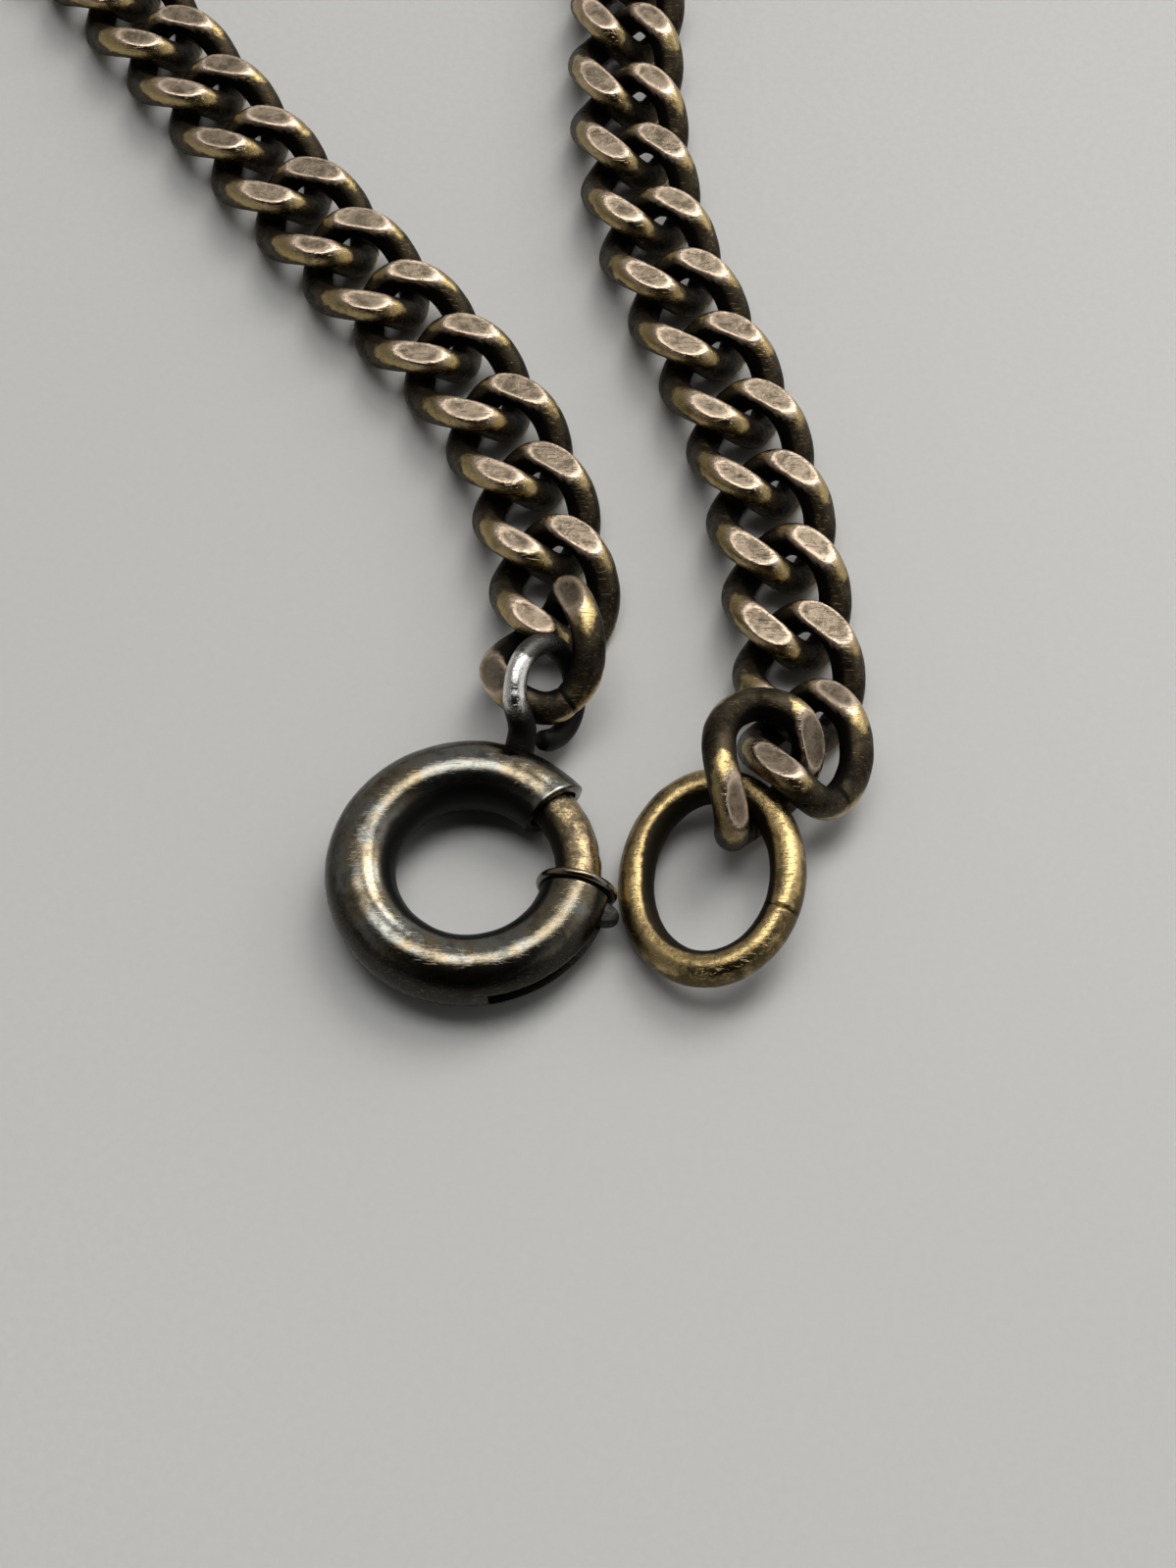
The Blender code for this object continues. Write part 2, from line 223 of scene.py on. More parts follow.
# ---------------------------------------------------------------- curb links
def link_centreline(turn):
    """Points of the twisted oval that a link's wire follows."""
    c, s = np.cos(turn), np.sin(turn)
    along = LINK["length"] * np.sign(c) * np.abs(c) ** LINK["square"]
    across = LINK["width"] * np.sign(s) * np.abs(s) ** LINK["square"]
    twist = -math.radians(LINK["twist"]) / 2 * along / LINK["length"]
    return np.stack([along, across * np.cos(twist), across * np.sin(twist)], 1)


def even_out(points, count):
    """The closed loop's points again, evenly spaced."""
    loop = np.vstack([points, points[:1]])
    run = np.concatenate([[0], np.cumsum(np.linalg.norm(np.diff(loop, axis=0), axis=1))])
    at = np.linspace(0, run[-1], count, endpoint=False)
    return np.stack([np.interp(at, run, loop[:, k]) for k in range(3)], 1)


LINK_LINE = even_out(link_centreline(2 * np.pi * np.arange(720) / 720), 112)
LINK_RIM = 0.05
SEAM = link_centreline(np.radians([221.0, 222.0, 223.0]))  # where the wire was soldered shut


def link_mesh(index, rng):
    """One link with its own small dents: a round wire loop, ground on both faces, its rims polished and given a
    painted highlight.
    """
    line = LINK_LINE.copy()
    wobble = rng.normal(0, 1, (4, 3)) * 0.025
    turn = np.linspace(0, 2 * np.pi, len(line), endpoint=False)
    for k, amount in enumerate(wobble):
        line += np.sin((k + 1) * turn + rng.uniform(0, 6.28))[:, None] * amount / (k + 1)
    verts, faces = sweep(line, LINK["wire"], 22, closed=True)
    mesh = bpy.data.meshes.new("link")
    mesh.from_pydata(verts.tolist(), [], faces)
    shape = bmesh.new()
    shape.from_mesh(mesh)
    # each ground face is a little out of true, and its rim is rounded from low to high
    tilts = rng.normal(0, 0.02, (2, 2))
    ground = [Vector((x, y, side)).normalized() for side, (x, y) in zip((1, -1), tilts)]
    half = LINK["half"]
    low, high = half - LINK_RIM, half + 1.5 * LINK_RIM
    for normal in ground:
        for height in (low, half, high):
            everything = shape.verts[:] + shape.edges[:] + shape.faces[:]
            bmesh.ops.bisect_plane(
                shape, geom=everything, dist=1e-5, plane_co=normal * height, plane_no=normal
            )
    co = np.array([v.co for v in shape.verts])
    flat = np.zeros(len(co))
    rim = np.zeros(len(co))
    for normal in map(np.array, ground):
        height = co @ normal
        share = np.clip((height - low) / (high - low), 0, 1)
        rounded = low + (share - share**2 / 2) * (high - low) * 0.8
        new_height = np.where(height > low, rounded, height)
        flat = np.maximum(flat, smoothstep(half - 0.3 * LINK_RIM, high + 0.02, height))
        # the rim mask gives the ground faces' rounded edges a bright colour: polished metal with a painted
        # highlight
        rim = np.maximum(
            rim, smoothstep(low - 0.16, low, height) * (1 - smoothstep(high, high + 0.12, height))
        )
        co += (new_height - height)[:, None] * normal
    dents = fractal(co, 0.9, index, 3)
    pits = fractal(co, 4.0, index + 100, 2)
    for vertex, point in zip(shape.verts, co):
        vertex.co = point
    shape.normal_update()
    normals = np.array([v.normal for v in shape.verts])
    along_wire = (SEAM[2] - SEAM[0]) / np.linalg.norm(SEAM[2] - SEAM[0])
    off = co - SEAM[1]
    seam = np.exp(-(((off @ along_wire) / 0.07) ** 2)) * (np.linalg.norm(off, axis=1) < 1.15)
    amount = 0.016 * dents + 0.008 * pits * flat - 0.05 * seam
    co = co + normals * amount[:, None]
    for vertex, point in zip(shape.verts, co):
        vertex.co = Vector(point) * MM
    bmesh.ops.recalc_face_normals(shape, faces=shape.faces)
    shape.to_mesh(mesh)
    shape.free()
    outward = co / np.linalg.norm(co, axis=1)[:, None]
    facing = (normals * outward).sum(1)
    height = np.abs(co[:, 2])
    wear_and_sheen = 0.6 * smoothstep(0.1, 0.85, facing) * smoothstep(0.35, 1.25, height)
    wear_and_sheen = wear_and_sheen + 0.45 * smoothstep(0.9, 1.5, height)
    # painted shade: the inner side of the loop, facing the hole, and the wire's sides at mid height are darkened;
    # the seam line is a real dark joint
    shade_and_grime = smoothstep(0.35, -0.6, facing) * (1 - smoothstep(1.4, 1.66, height))
    shade_and_grime = np.maximum(shade_and_grime, 0.42 * smoothstep(1.0, 0.1, height))
    shade_and_grime = np.clip(shade_and_grime + 0.9 * seam, 0, 1)
    finish_surface(mesh, np.clip(wear_and_sheen, 0, 1), shade_and_grime, rng.uniform(0, 50), flat, rim)
    return mesh


def link_matrix(name):
    """The link's frame, from its CAD solid. A half turn about any axis leaves a link the same."""
    middle, axes, cross = node_frame(name)
    size = np.linalg.norm(cross, axis=1)
    unit = cross / size[:, None]
    across = axes[:, 0]  # least spread: through the ground faces
    near = np.abs(unit @ across) > 0.97
    if near.any():
        facing = unit[near] * np.sign(unit[near] @ across)[:, None] * size[near][:, None]
        big = size[near] > 0.25 * size[near].max()
        across = facing[big].sum(0)
        across /= np.linalg.norm(across)
    long = axes[:, 2] - across * (axes[:, 2] @ across)
    long /= np.linalg.norm(long)
    across = across if across[2] > 0 else -across
    long = long if long[1] > 0 else -long
    turn = np.stack([long, np.cross(across, long), across], 1)
    matrix = Matrix(turn.tolist()).to_4x4()
    matrix.translation = Vector(middle)
    return matrix


def build_links(material):
    rng = np.random.default_rng(7)
    names = sorted(n for n in nodes if n.startswith("link_"))
    for index, name in enumerate(names):
        mesh = link_mesh(index, rng)
        place(f"curb_{name}", mesh, material, link_matrix(name), name)


# ---------------------------------------------------------------- bolt ring
def on_ring(angle, radius=RING_R, height=0.0):
    """Points about the bolt ring's centre, from angles in degrees, radii and heights."""
    angle = np.radians(angle)
    shape = np.broadcast(angle, radius, height).shape
    return np.stack(
        [
            np.broadcast_to(radius * np.cos(angle), shape),
            np.broadcast_to(radius * np.sin(angle), shape),
            np.broadcast_to(height, shape),
        ],
        -1,
    )


RING_MATRIX = Matrix.Translation(RING_CENTRE * MM)


def build_tube(material):
    """The hollow ring: its outer skin with the lug's slot left out, then a wall inside it."""
    sides = 48
    angles = np.linspace(MOUTH_UPPER, 360 + COLLAR_ANGLE - 2.85, 181)
    section = 2 * np.pi * np.arange(sides) / sides
    ring_angle, around = np.meshgrid(angles, section, indexing="ij")
    radius = RING_R + TUBE_R * np.cos(around)
    verts = on_ring(ring_angle, radius, TUBE_R * np.sin(around)).reshape(-1, 3)
    slot_half = math.radians(SLOT_HALF)
    faces = []
    for i in range(len(angles) - 1):
        middle = (angles[i] + angles[i + 1]) / 2 - 360
        for k in range(sides):
            m = (k + 1) % sides
            turn = (k + 0.5) / sides * 2 * np.pi
            turn = (turn + np.pi) % (2 * np.pi) - np.pi
            if SLOT_TO < middle < SLOT_FROM and abs(turn) < slot_half:
                continue
            faces.append((i * sides + k, i * sides + m, (i + 1) * sides + m, (i + 1) * sides + k))
    around, ring_angle = around.ravel(), ring_angle.ravel()
    normal = on_ring(ring_angle, np.cos(around), np.sin(around))
    dents = fractal(verts, 0.28, 3.0, 3)
    small = fractal(verts, 1.5, 9.0, 2)
    verts = verts + normal * (0.045 * dents + 0.008 * small)[:, None]
    # the upper mouth is cut a little out of true, and flares
    near = smoothstep(MOUTH_UPPER + 7, MOUTH_UPPER, ring_angle)
    tangent = on_ring(ring_angle + 90, 1.0)
    skew = 0.16 * np.cos(around - 0.5) + 0.05 * np.sin(3 * around)
    verts = verts - tangent * (near * skew)[:, None] + normal * (0.04 * near)[:, None]
    # the top of the tube gets the lighter colour as a painted highlight, partly real rubbing; the rubbed upper
    # mouth is real
    wear_and_sheen = smoothstep(0.35, 1.0, np.sin(around)) * 0.7
    wear_and_sheen = np.maximum(wear_and_sheen, 0.9 * smoothstep(MOUTH_UPPER + 2, MOUTH_UPPER, ring_angle))
    # painted shade: the inner side of the tube and its underside are darkened; the seam line is a real dark joint
    shade_and_grime = 0.9 * smoothstep(-0.35, -0.95, np.cos(around))
    shade_and_grime = shade_and_grime + 0.55 * smoothstep(0.15, -0.7, np.sin(around))
    seam = np.exp(-(((around - 2.75) / 0.035) ** 2)) * (ring_angle > 60) * (ring_angle < 330)
    verts = verts - normal * (0.03 * seam)[:, None]
    mesh = mesh_of("tube_shell", verts, faces, wear_and_sheen, np.clip(shade_and_grime + seam, 0, 1), 11.0)
    piece = place("tube_shell", mesh, material, RING_MATRIX, "bolt_ring_tube")
    wall = piece.modifiers.new("wall", "SOLIDIFY")
    wall.thickness = (TUBE_R - BORE_R) * MM
    wall.offset = -1.0
    bevel(piece, "edge", 0.05, 2, 50)


def build_collar(material):
    """The washer on the lower mouth: a rounded rim, a touch bent."""
    around = 2 * np.pi * np.arange(64) / 64
    rim = np.linspace(-np.pi / 2, np.pi / 2, 9)
    inner, outer, half = BORE_R + 0.04, COLLAR_OUTER, COLLAR_HALF
    profile = [(inner, -half)]
    profile += [(outer - half + half * math.cos(a), half * math.sin(a)) for a in rim]
    profile += [(inner, half)]
    verts = []
    for radius, along in profile:
        for a in around:
            bend = 0.03 * math.sin(2 * a)
            verts.append((radius * math.cos(a), radius * math.sin(a), along + bend))
    verts = np.array(verts)
    faces = tube_faces(len(profile), len(around), closed=True)
    # the washer is lighter at its outer rim and darker towards the bore
    wear_and_sheen = smoothstep(1.75, 2.1, np.linalg.norm(verts[:, :2], axis=1))
    mesh = mesh_of("collar_washer", verts, faces, wear_and_sheen, 1 - wear_and_sheen, 17.0)
    turn = Matrix.Rotation(math.radians(COLLAR_ANGLE), 4, "Z")
    turn = turn @ Matrix.Rotation(-math.pi / 2, 4, "X")
    spot = Matrix.Translation(Vector(on_ring(COLLAR_ANGLE)) * MM)
    matrix = RING_MATRIX @ spot @ turn
    place("collar_washer", mesh, material, matrix, "thrust_collar")


def build_bolt(material):
    """The curved wire that closes the gap, a little thinner at its two ends."""
    angles = np.linspace(BOLT_TAIL, BOLT_TIP, 81)
    thin_tip = 0.2 * smoothstep(BOLT_TIP - 2.5, BOLT_TIP, angles)
    thin_tail = 0.1 * smoothstep(BOLT_TAIL + 2, BOLT_TAIL, angles)
    verts, faces = sweep(on_ring(angles), BOLT_R * (1 - thin_tip - thin_tail), 32)
    # a nick worn into the outer side where the collar rubs
    nick = np.exp(-(((verts[:, 1] - 0.9) / 0.35) ** 2)) * smoothstep(5.9, 6.7, verts[:, 0])
    dents = fractal(verts, 1.1, 5.0, 4)
    centre = verts.copy()
    centre[:, 2] = 0
    centre = centre / np.linalg.norm(centre, axis=1)[:, None] * RING_R
    normal = verts - centre
    size = np.linalg.norm(normal, axis=1)[:, None]
    normal = np.where(size > 0.2, normal / np.maximum(size, 0.2), 0)
    verts = verts + normal * (0.018 * dents - 0.05 * nick)[:, None]
    height = verts[:, 2] / BOLT_R
    outer = (np.linalg.norm(verts[:, :2], axis=1) - RING_R) / BOLT_R
    # the top of the wire is painted lighter as a highlight and its outer side is rubbed; its inner side is
    # darkened with painted shade
    wear_and_sheen = 0.5 * smoothstep(0.2, 0.9, height) + 0.5 * smoothstep(0.3, 0.95, outer)
    shade_and_grime = 0.7 * smoothstep(-0.2, -0.9, outer)
    mesh = mesh_of("bolt_wire", verts, faces, np.clip(wear_and_sheen, 0, 1), shade_and_grime, 23.0)
    place("bolt_wire", mesh, material, RING_MATRIX, "bolt")


def build_lug(material):
    """The thumb lug: a small tab on the bolt, narrower and thinner at its tip."""
    wide, tall = 7, 9
    foot, tip = RING_R + BOLT_R + 0.05, LUG_TIP
    radius = foot + (tip - foot) * np.linspace(0, 1, tall)
    half = np.interp(radius, [foot, 7.6, tip - 0.12, tip], [4.5, 4.2, 2.2, 1.3])
    rows = []
    for r, h in zip(radius, half):
        for a in np.linspace(LUG_ANGLE - h, LUG_ANGLE + h, wide):
            rows.append((a, r))
    rows = np.array(rows)
    thick = LUG_HALF_THICK * np.interp(rows[:, 1], [foot, tip - 0.2, tip], [1, 1, 0.55])
    top = on_ring(rows[:, 0], rows[:, 1], thick)
    bottom = on_ring(rows[:, 0], rows[:, 1], -thick)
    verts = np.vstack([top, bottom])
    count = len(rows)
    faces = []
    for i in range(tall - 1):
        for k in range(wide - 1):
            a = i * wide + k
            faces.append((a, a + 1, a + wide + 1, a + wide))
            faces.append((a + count, a + wide + count, a + wide + 1 + count, a + 1 + count))
    edge = list(range(wide))
    edge += [i * wide + wide - 1 for i in range(1, tall)]
    edge += [(tall - 1) * wide + k for k in range(wide - 2, -1, -1)]
    edge += [i * wide for i in range(tall - 2, 0, -1)]
    for a, b in zip(edge, edge[1:] + edge[:1]):
        faces.append((a, b, b + count, a + count))
    mesh = mesh_of("lug_tab", verts, faces, 0.35, 0.3, 29.0)
    piece = place("lug_tab", mesh, material, RING_MATRIX, "thumb_lug")
    bevel(piece, "soft", 0.12, 3, 45)


def catmull(points, per_span):
    """A smooth line through the points."""
    points = np.array(points, float)
    ends = np.vstack([2 * points[0] - points[1], points, 2 * points[-1] - points[-2]])
    made = []
    for i in range(1, len(ends) - 2):
        p0, p1, p2, p3 = ends[i - 1 : i + 3]
        for t in np.linspace(0, 1, per_span, endpoint=False):
            square, cube = 2 * p0 - 5 * p1 + 4 * p2 - p3, 3 * p1 - p0 - 3 * p2 + p3
            made.append(0.5 * (2 * p1 + (p2 - p0) * t + square * t**2 + cube * t**3))
    made.append(points[-1])
    return np.array(made)


def build_eye(material):
    """The hooked wire, from the stem on the tube over link 01's wire and back."""
    out = on_ring(EYE["angle"], 1.0)
    left = np.array([-out[1], out[0], 0])
    up = np.array([0, 0, 1.0])
    tilt = math.radians(EYE["lean"])
    lean = up * math.cos(tilt) + left * math.sin(tilt)
    height = EYE["height"] - RING_CENTRE.z
    centre = out * EYE["distance"] + up * height
    loop = []
    for angle in np.linspace(140, -150, 20):
        turn = math.radians(angle)
        loop.append(centre + (out * math.cos(turn) + lean * math.sin(turn)) * EYE["loop"])
    low = EYE["foot"] - RING_CENTRE.z
    foot = out * (RING_R + TUBE_R - 0.1) + up * (low - 0.1) + left * 0.2
    bend = out * 8.3 + up * (low + 0.75) + left * 0.35
    line = catmull([foot, bend, *loop], 6)
    share = np.linspace(0, 1, len(line))
    thin_end, thick_foot = 0.12 * smoothstep(0.97, 1.0, share), 0.3 * smoothstep(0.16, 0.0, share)
    verts, faces = sweep(line, EYE["wire"] * (1 - thin_end + thick_foot), 24)
    dents = fractal(verts, 1.2, 14.0, 3)
    verts = verts + 0.012 * dents[:, None] * np.array([0.4, 0.4, 1])
    top = verts[:, 2] - height
    # the eye's top, towards the tube, gets the bright colour as a painted highlight, partly rubbed; the wire
    # darkens towards its foot as painted shade
    wear_and_sheen = smoothstep(0.9, 2.3, top) * smoothstep(1.3, -0.4, (verts - centre) @ out)
    mesh = mesh_of("eye_hook", verts, faces, wear_and_sheen, 1 - smoothstep(0.3, 1.8, top), 31.0)
    place("eye_hook", mesh, material, RING_MATRIX, "attachment_eye")


# ---------------------------------------------------------------- end ring
def build_end_ring(material):
    """The oval wire ring. Its long axis and plane come from the CAD solid."""
    middle, axes, _ = node_frame("end_ring")
    flat_axis, long = axes[:, 0], axes[:, 2]
    if flat_axis[2] < 0:
        flat_axis = -flat_axis
    if long[1] < 0:
        long = -long
    side = np.cross(flat_axis, long)
    matrix = Matrix(np.stack([long, side, flat_axis], 1).tolist()).to_4x4()
    matrix.translation = Vector(middle)
    half_gap, half_long, half_wide = 0.5, *END_RING_HALVES
    ends = END_RING_CUT + half_gap, END_RING_CUT + 360 - half_gap
    turn = np.radians(np.linspace(*ends, 180))
    points = np.stack([half_long * np.cos(turn), half_wide * np.sin(turn), 0 * turn], 1)
    points[:, :2] *= (1 + 0.006 * np.sin(3 * turn + 1))[:, None]
    verts, faces = sweep(points, END_RING_WIRE, 28)
    dents = fractal(verts, 0.7, 21.0, 4)
    out = verts.copy()
    out[:, 2] = 0
    out /= np.linalg.norm(out, axis=1)[:, None]
    verts = verts + 0.02 * dents[:, None] * out
    oval = np.stack([half_long * out[:, 0], half_wide * out[:, 1]], 1)
    outer = np.linalg.norm(verts[:, :2], axis=1) - np.linalg.norm(oval, axis=1)
    height = verts[:, 2] / 0.97
    # the top of the wire gets the lighter colour as a painted highlight and its outer side is rubbed; the inner
    # side is darkened with painted shade
    wear_and_sheen = 0.7 * smoothstep(0.3, 0.95, height) + 0.4 * smoothstep(0.3, 0.9, outer)
    shade_and_grime = smoothstep(-0.2, -0.9, outer)
    mesh = mesh_of("oval_ring", verts, faces, np.clip(wear_and_sheen, 0, 1), shade_and_grime, 41.0)
    place("oval_ring", mesh, material, matrix, "end_ring")


# ---------------------------------------------------------------- materials
class Nodes:
    """Short names for making a node tree."""

    def __init__(self, name):
        self.material = bpy.data.materials.new(name)
        self.material.use_nodes = True
        self.tree = self.material.node_tree
        self.shader = self.tree.nodes["Principled BSDF"]

    def add(self, kind, inputs=None, **settings):
        node = self.tree.nodes.new(kind)
        for key, value in settings.items():
            setattr(node, key, value)
        for key, value in (inputs or {}).items():
            self.feed(node.inputs[key], value)
        return node

    def feed(self, socket, value):
        if isinstance(value, bpy.types.NodeSocket):
            self.tree.links.new(value, socket)
        elif isinstance(value, bpy.types.Node):
            self.tree.links.new(value.outputs[0], socket)
        else:
            socket.default_value = value

    def value(self, name):
        return self.add("ShaderNodeAttribute", attribute_name=name).outputs["Fac"]

    def maths(self, operation, a, b=0.0, c=0.0, clamp=False):
        return self.add(
            "ShaderNodeMath", {0: a, 1: b, 2: c}, operation=operation, use_clamp=clamp
        ).outputs[0]

    def spread(self, value, low, high, to_low=0.0, to_high=1.0):
        return self.add(
            "ShaderNodeMapRange",
            {0: value, 1: low, 2: high, 3: to_low, 4: to_high},
            interpolation_type="SMOOTHSTEP",
        ).outputs[0]

    def mix(self, share, a, b):
        node = self.add("ShaderNodeMix", data_type="RGBA")
        self.feed(node.inputs[0], share)
        self.feed(node.inputs[6], a)
        self.feed(node.inputs[7], b)
        return node.outputs[2]

    def noise(self, vector, scale, detail=3.0, roughness=0.55, distortion=0.0):
        return self.add(
            "ShaderNodeTexNoise",
            {
                "Vector": vector,
                "Scale": scale,
                "Detail": detail,
                "Roughness": roughness,
                "Distortion": distortion,
            },
        ).outputs[0]


def metal(
    name, worn_and_sheen, plain, dark, flat_colour, rim_colour, rough=(0.22, 0.42), grain=1.0, cool=None
):
    """Old metal: painted shade and dirt in the hollows and underneath, plain between, rubbed on the
    high spots with a painted highlight on some tops, scratched all over. rough is the roughness at
    the rubbed and highlighted places and elsewhere, grain the strength of the small patches, and cool a second
    colour for those places, in clouds."""
    n = Nodes(name)
    where = n.add("ShaderNodeTexCoord").outputs["Object"]
    seed = n.add(
        "ShaderNodeCombineXYZ", {0: n.value("seed"), 1: n.value("seed"), 2: n.value("seed")}
    )
    vector = n.add(
        "ShaderNodeVectorMath", {0: where, "Scale": 1 / MM}, operation="SCALE"
    ).outputs[0]
    vector = n.add("ShaderNodeVectorMath", {0: vector, 1: seed}, operation="ADD").outputs[0]
    cloud = n.noise(vector, 0.5, 5, 0.6)
    fine = n.noise(vector, 2.6, 6, 0.68)
    blots = n.noise(vector, 1.3, 8, 0.72)
    speck = n.noise(vector, 8.0, 4, 0.7)
    scratch_at = n.add(
        "ShaderNodeMapping",
        {"Vector": vector, "Rotation": (0.3, 0.5, 0.9), "Scale": (1.2, 16.0, 10.0)},
    )
    scratches = n.spread(n.noise(scratch_at, 1.0, 3, 0.5, 0.3), 0.58, 0.72)
    wear_and_sheen, shade_and_grime = n.value("wear_and_sheen"), n.value("shade_and_grime")
    flat, rim = n.value("flat"), n.value("rim")
    # lighter colour at the rubbed places, and a painted highlight on the tops of the tube, bolt, eye and end ring
    worn_and_sheen_share = n.maths("MULTIPLY_ADD", cloud, 0.6, n.maths("SUBTRACT", wear_and_sheen, 0.3))
    patches = n.maths("SUBTRACT", blots, 0.5)
    worn_and_sheen_share = n.maths("MULTIPLY_ADD", patches, 1.5 * grain, worn_and_sheen_share)
    worn_and_sheen_share = n.spread(worn_and_sheen_share, 0.36, 0.74)
    # dark colour for painted shade in the hollows, on inner sides and underneath, and for real dirt and dark
    # joints
    shade_and_grime_share = n.maths("MULTIPLY_ADD", fine, 0.7, n.maths("SUBTRACT", shade_and_grime, 0.35))
    shade_and_grime_share = n.spread(shade_and_grime_share, 0.12, 0.62)
    worn_and_sheen_tone = n.mix(n.spread(cloud, 0.42, 0.6), worn_and_sheen, cool or worn_and_sheen)
    colour = n.mix(worn_and_sheen_share, plain, worn_and_sheen_tone)
    blotch = n.spread(n.noise(vector, 1.1, 4, 0.6), 0.5, 0.7, 0.0, 0.5)
    colour = n.mix(blotch, colour, dark)
    colour = n.mix(n.maths("MULTIPLY", scratches, 0.4), colour, worn_and_sheen)
    colour = n.mix(shade_and_grime_share, colour, dark)
    flat_tone = n.mix(n.spread(blots, 0.42, 0.62, 0.0, 0.7), flat_colour, plain)
    colour = n.mix(flat, colour, flat_tone)
    # bright rims on the ground faces: polished metal with a painted highlight
    rim_share = n.maths("MULTIPLY", rim, n.spread(fine, 0.3, 0.6, 0.3, 1.0))
    colour = n.mix(rim_share, colour, rim_colour)
    pits = n.spread(speck, 0.6, 0.72, 0.0, 0.6)
    colour = n.mix(pits, colour, dark)
    n.feed(n.shader.inputs["Base Color"], colour)
    n.shader.inputs["Metallic"].default_value = 1.0
    roughness = n.spread(worn_and_sheen_share, 0.0, 1.0, rough[1], rough[0])
    roughness = n.maths("MULTIPLY_ADD", n.maths("SUBTRACT", fine, 0.5), 0.3 * grain, roughness)
    roughness = n.maths("MULTIPLY_ADD", flat, 0.08, roughness)
    roughness = n.maths("MULTIPLY_ADD", shade_and_grime_share, 0.2, roughness, clamp=True)
    n.feed(n.shader.inputs["Roughness"], roughness)
    height = n.maths("MULTIPLY_ADD", fine, 0.6, n.maths("MULTIPLY", scratches, -0.3))
    height = n.maths("MULTIPLY_ADD", speck, n.maths("MULTIPLY_ADD", flat, 0.3, 0.2), height)
    bump = n.add(
        "ShaderNodeBump", {"Strength": 0.55 * grain, "Distance": 0.0001, "Height": height}
    ).outputs[0]
    n.feed(n.shader.inputs["Normal"], bump)
    return n.material


def make_materials():
    """The metals, by the names of their materials."""
    return {
        "aged_brass": metal(
            "aged_brass",
            worn_and_sheen=(0.46, 0.345, 0.16, 1),
            plain=(0.062, 0.048, 0.030, 1),
            dark=(0.011, 0.0095, 0.008, 1),
            flat_colour=(0.27, 0.216, 0.157, 1),
            rim_colour=(0.68, 0.53, 0.40, 1),
        ),
        "end_ring_brass": metal(
            "end_ring_brass",
            worn_and_sheen=(0.50, 0.37, 0.17, 1),
            plain=(0.12, 0.086, 0.04, 1),
            dark=(0.03, 0.024, 0.015, 1),
            flat_colour=(0.42, 0.36, 0.28, 1),
            rim_colour=(0.8, 0.66, 0.45, 1),
            rough=(0.2, 0.38),
        ),
        "worn_nickel": metal(
            "worn_nickel",
            worn_and_sheen=(0.25, 0.205, 0.135, 1),
            cool=(0.215, 0.215, 0.19, 1),
            plain=(0.038, 0.035, 0.029, 1),
            dark=(0.02, 0.02, 0.019, 1),
            flat_colour=(0.5, 0.47, 0.4, 1),
            rim_colour=(0.7, 0.66, 0.55, 1),
            rough=(0.15, 0.27),
            grain=0.32,
        ),
        "lug_metal": metal(
            "lug_metal",
            worn_and_sheen=(0.16, 0.15, 0.13, 1),
            plain=(0.035, 0.033, 0.03, 1),
            dark=(0.02, 0.02, 0.019, 1),
            flat_colour=(0.2, 0.19, 0.17, 1),
            rim_colour=(0.3, 0.28, 0.25, 1),
            rough=(0.3, 0.45),
        ),
        "bolt_brass": metal(
            "bolt_brass",
            worn_and_sheen=(0.42, 0.32, 0.18, 1),
            plain=(0.10, 0.078, 0.048, 1),
            dark=(0.03, 0.025, 0.019, 1),
            flat_colour=(0.5, 0.47, 0.4, 1),
            rim_colour=(0.7, 0.66, 0.55, 1),
            rough=(0.2, 0.36),
        ),
        "eye_silver": metal(
            "eye_silver",
            # the near-white colour on the eye's top is partly a painted highlight
            worn_and_sheen=(0.85, 0.84, 0.80, 1),
            plain=(0.10, 0.097, 0.09, 1),
            dark=(0.022, 0.021, 0.02, 1),
            flat_colour=(0.6, 0.6, 0.57, 1),
            rim_colour=(0.8, 0.8, 0.78, 1),
            rough=(0.16, 0.38),
        ),
    }


def steel_material():
    """Bare steel with a little rust, for the spring and its stop."""
    n = Nodes("spring_steel")
    where = n.add("ShaderNodeTexCoord").outputs["Object"]
    fine = n.noise(where, 3000.0, 4, 0.6)
    n.feed(
        n.shader.inputs["Base Color"],
        n.mix(n.spread(fine, 0.4, 0.7), (0.35, 0.35, 0.36, 1), (0.16, 0.14, 0.12, 1)),
    )
    n.shader.inputs["Metallic"].default_value = 1.0
    n.feed(n.shader.inputs["Roughness"], n.spread(fine, 0.3, 0.7, 0.25, 0.5))
    return n.material


def floor_material():
    """A pale, slightly glossy table with a fine grain."""
    n = Nodes("pale_table")
    where = n.add("ShaderNodeTexCoord").outputs["Object"]
    grain = n.noise(where, 2200.0, 4, 0.6)
    tone = n.noise(where, 9.0, 2, 0.5)
    grain_share = n.spread(grain, 0.35, 0.65, 0.0, 0.35)
    colour = n.mix(grain_share, (0.62, 0.62, 0.61, 1), (0.56, 0.56, 0.55, 1))
    colour = n.mix(n.spread(tone, 0.4, 0.65, 0.0, 0.5), colour, (0.585, 0.585, 0.57, 1))
    n.feed(n.shader.inputs["Base Color"], colour)
    n.shader.inputs["Roughness"].default_value = 0.45
    n.shader.inputs["Specular IOR Level"].default_value = 0.35
    bump = n.add(
        "ShaderNodeBump", {"Strength": 0.06, "Distance": 0.00005, "Height": grain}
    ).outputs[0]
    n.feed(n.shader.inputs["Normal"], bump)
    return n.material


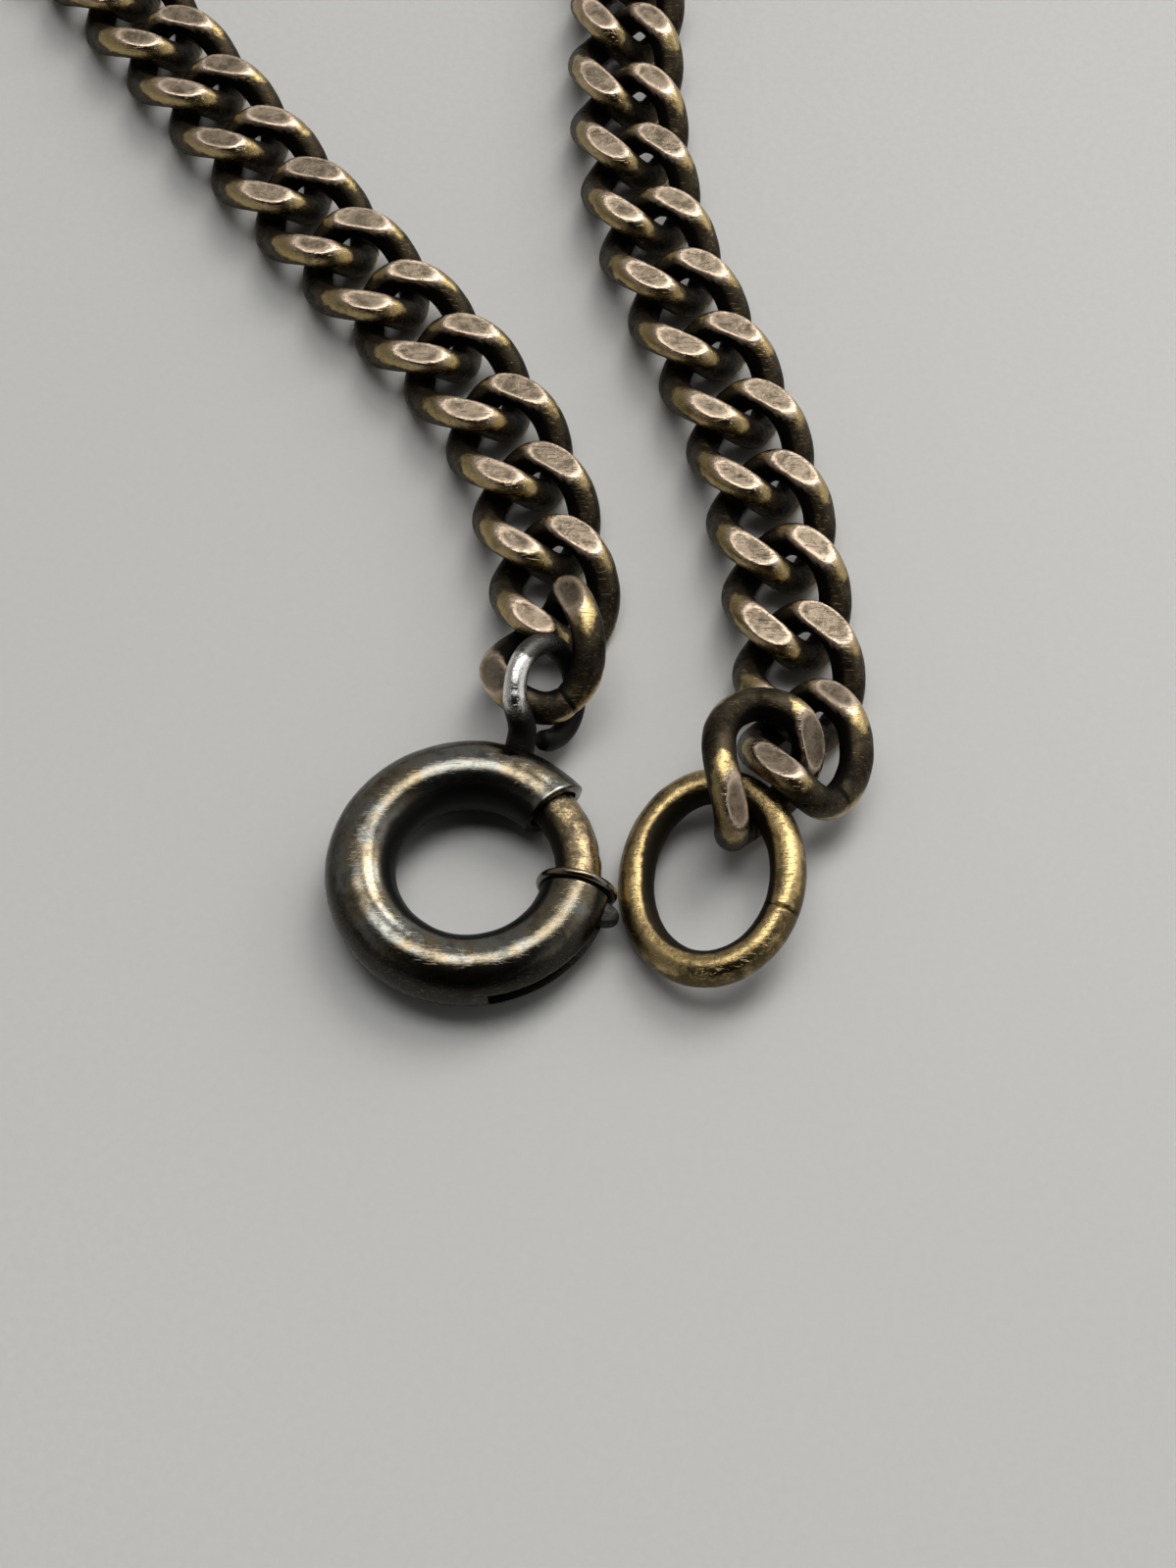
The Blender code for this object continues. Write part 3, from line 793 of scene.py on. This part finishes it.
# ---------------------------------------------------------------- stage
def build_stage():
    mesh = bpy.data.meshes.new("table")
    signs = ((-1, -1), (1, -1), (1, 1), (-1, 1))
    corners = [(x * TABLE_HALF, y * TABLE_HALF, TABLE) for x, y in signs]
    mesh.from_pydata(corners, [], [(0, 1, 2, 3)])
    table = bpy.data.objects.new("table", mesh)
    bpy.context.scene.collection.objects.link(table)
    table.data.materials.append(floor_material())


def direction(azimuth, elevation):
    """Azimuth from +Y towards +X, elevation above the table, in degrees."""
    a, e = math.radians(azimuth), math.radians(elevation)
    return Vector((math.sin(a) * math.cos(e), math.cos(a) * math.cos(e), math.sin(e)))


def build_world():
    """A dim room, brighter on the right, with a bright patch on the ceiling and two dark ones in
    front, one high and one low, as if someone leaned over the table."""
    world = bpy.data.worlds.new("room")
    bpy.context.scene.world = world
    world.use_nodes = True
    tree = world.node_tree
    tree.nodes.clear()

    def node(kind, inputs=None, **settings):
        made = tree.nodes.new(kind)
        for key, value in settings.items():
            setattr(made, key, value)
        for key, value in (inputs or {}).items():
            if isinstance(value, bpy.types.NodeSocket):
                tree.links.new(value, made.inputs[key])
            else:
                made.inputs[key].default_value = value
        return made.outputs[0]

    where = tree.nodes.new("ShaderNodeTexCoord").outputs["Generated"]

    def patch(towards, inner, outer, low, high, squash=(1, 1, 1)):
        """high inside the inner angle about a direction, low outside the outer one."""
        flat = node("ShaderNodeVectorMath", {0: where, 1: tuple(towards)}, operation="SUBTRACT")
        flat = node("ShaderNodeVectorMath", {0: flat, 1: squash}, operation="MULTIPLY")
        length = tree.nodes.new("ShaderNodeVectorMath")
        length.operation = "LENGTH"
        tree.links.new(flat, length.inputs[0])
        near, far = (2 * math.sin(math.radians(a) / 2) for a in (inner, outer))
        return node(
            "ShaderNodeMapRange",
            {0: length.outputs["Value"], 1: near, 2: far, 3: high, 4: low},
            interpolation_type="SMOOTHSTEP",
        )

    base = patch(direction(75, 12), 20, 110, 0.24, 0.7)
    high_dark = patch(direction(180, 61.5), 32, 60, 1.0, 0.06)
    low_dark = patch(direction(180, 15), 25, 60, 1.0, 0.15)
    total = node("ShaderNodeMath", {0: base, 1: high_dark}, operation="MULTIPLY")
    total = node("ShaderNodeMath", {0: total, 1: low_dark}, operation="MULTIPLY")
    lamp = patch(direction(-12, 78), 6, 19, 0.0, 4.0, (0.55, 1, 1))
    total = node("ShaderNodeMath", {0: total, 1: lamp}, operation="ADD")
    back = tree.nodes.new("ShaderNodeBackground")
    tree.links.new(total, back.inputs["Strength"])
    back.inputs["Color"].default_value = (1.0, 0.99, 0.975, 1)
    out = tree.nodes.new("ShaderNodeOutputWorld")
    tree.links.new(back.outputs[0], out.inputs[0])


def build_lights():
    """A soft key light from the back right and a weaker, lower one beside it."""
    distance, warm_white = 0.6, (1.0, 0.985, 0.96)
    lights = [
        ("key", direction(44, 54), 0.3, 1.25),
        ("window", direction(60, 30), 0.2, 0.3),
    ]
    centre = RING_CENTRE * MM + Vector((-0.02, 0.1, 0))
    for name, towards, size, power in lights:
        light = bpy.data.lights.new(name, "AREA")
        light.shape = "DISK"
        light.size = size
        light.energy = power
        light.color = warm_white
        lamp = bpy.data.objects.new(name, light)
        bpy.context.scene.collection.objects.link(lamp)
        lamp.location = centre + towards * distance
        lamp.rotation_euler = (-towards).to_track_quat("-Z", "Y").to_euler()


def build_camera():
    """The camera, looking down at 61.5 degrees from in front of the two ends."""
    pitch = 61.5
    camera = bpy.data.cameras.new("camera")
    camera.sensor_fit = "VERTICAL"
    camera.sensor_height = 36.0
    camera.sensor_width = 36.0
    camera.lens = 60.8
    camera.clip_start, camera.clip_end = 0.005, 10.0
    holder = bpy.data.objects.new("camera", camera)
    bpy.context.scene.collection.objects.link(holder)
    foot = Vector((RING_CENTRE.x, RING_CENTRE.y, 0.0))
    holder.location = (foot + Vector((6.15, -61.66, 125.2))) * MM
    holder.rotation_euler = (math.radians(90 - pitch), 0, 0)
    bpy.context.scene.camera = holder


def main():
    scene = bpy.context.scene
    scene.view_settings.view_transform = "Standard"
    materials = make_materials()
    build_links(materials["aged_brass"])
    build_tube(materials["worn_nickel"])
    build_collar(materials["worn_nickel"])
    build_bolt(materials["bolt_brass"])
    build_lug(materials["lug_metal"])
    build_eye(materials["eye_silver"])
    build_end_ring(materials["end_ring_brass"])
    steel = steel_material()
    for name in ("closing_spring", "spring_stop"):
        nodes[name].data.materials.clear()
        nodes[name].data.materials.append(steel)
    build_stage()
    build_world()
    build_lights()
    build_camera()


main()
